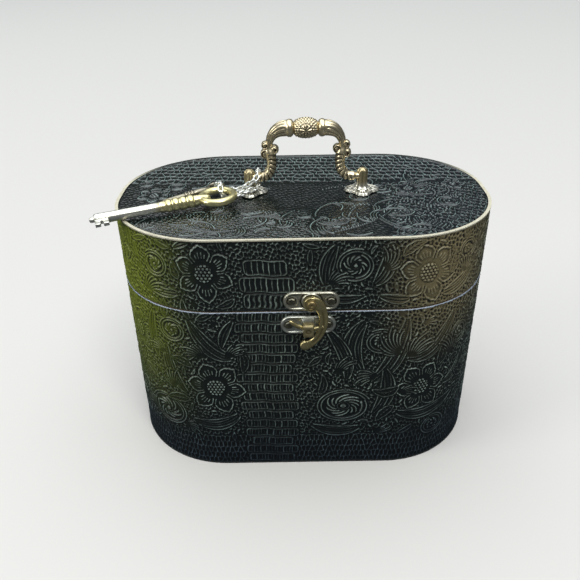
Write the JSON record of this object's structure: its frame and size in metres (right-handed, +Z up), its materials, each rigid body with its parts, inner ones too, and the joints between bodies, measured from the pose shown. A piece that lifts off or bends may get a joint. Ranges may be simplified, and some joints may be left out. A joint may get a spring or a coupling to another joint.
{
  "type": "vanity case",
  "caption": "Upright oval vanity case with a hinged lid, a bail handle, a swing latch and two keys on a chain; holds papers and keepsakes.",
  "frame": {"origin": "centre of the case's plan on the plane it stands on", "axes": "+X towards the case's right as seen from the front, -Y out of the front with the latch, +Z up"},
  "size_m": [0.2472, 0.1589, 0.2203],
  "materials": {
    "leatherette": "embossed leatherette, teal-black with a pearly olive and bronze sheen",
    "board": "stiff bent board",
    "lining": "plain dark lining cloth",
    "edge_trim": "pale cut edge strip",
    "latch_metal": "antique silver over brass",
    "keeper_metal": "antique silver over brass, worn to brass on the lug",
    "hook_metal": "worn brass",
    "hinge_metal": "antique silver over brass",
    "screw_metal": "plated steel",
    "handle_metal": "champagne brass with dark antique recesses",
    "chain_metal": "silver plated wire",
    "large_key_metal": "pale gold plating",
    "small_key_metal": "darkened silver plating"
  },
  "bodies": {
    "case_body": {"body_wall": "board", "base_panel": "board", "body_cover": "leatherette", "base_cover": "leatherette", "body_lining": "lining", "base_lining": "lining", "keeper_plate": "keeper_metal", "keeper_plate_screws": "screw_metal", "hinge_lower_leaf_left": "hinge_metal", "hinge_lower_leaf_right": "hinge_metal", "hinge_pin_left": "hinge_metal", "hinge_pin_right": "hinge_metal", "hinge_lower_screws": "screw_metal"},
    "lid": {"lid_wall": "board", "lid_top_panel": "board", "lid_side_cover": "leatherette", "lid_top_cover": "leatherette", "lid_edge_trim": "edge_trim", "lid_wall_lining": "lining", "lid_top_lining": "lining", "latch_plate": "latch_metal", "latch_plate_screws": "screw_metal", "latch_rivet": "hook_metal", "hinge_upper_leaf_left": "hinge_metal", "hinge_upper_leaf_right": "hinge_metal", "hinge_upper_screws": "screw_metal", "handle_rosette_left": "handle_metal", "handle_rosette_right": "handle_metal", "handle_post_left": "handle_metal", "handle_post_right": "handle_metal", "handle_washers": "screw_metal", "handle_nuts": "screw_metal", "key_chain": "chain_metal"},
    "latch_hook": {"latch_hook": "hook_metal"},
    "handle_bail": {"handle_bail": "handle_metal"},
    "large_key": {"large_key": "large_key_metal"},
    "small_key": {"small_key": "small_key_metal"}
  },
  "joints": [
    {"name": "lid_hinge", "type": "hinge", "parent": "case_body", "child": "lid", "pos_m": [0, 0.075, 0.1245], "axis": [-1, 0, 0], "range_deg": [0, 110]},
    {"name": "latch_swing", "type": "hinge", "parent": "lid", "child": "latch_hook", "pos_m": [0.0035, -0.0766, 0.1321], "axis": [0, -1, 0], "range_deg": [0, 120]},
    {"name": "handle_swing", "type": "hinge", "parent": "lid", "child": "handle_bail", "pos_m": [0.0024, 0, 0.182], "axis": [1, 0, 0], "range_deg": [-88, 88]},
    {"name": "large_key_turn", "type": "hinge", "parent": "lid", "child": "large_key", "pos_m": [-0.0505, -0.019, 0.1785], "axis": [0, 0, 1], "range_deg": [0, 12]},
    {"name": "small_key_turn", "type": "hinge", "parent": "lid", "child": "small_key", "pos_m": [-0.055, -0.0025, 0.177], "axis": [0, 0, 1], "range_deg": [-12, 0]}
  ]
}
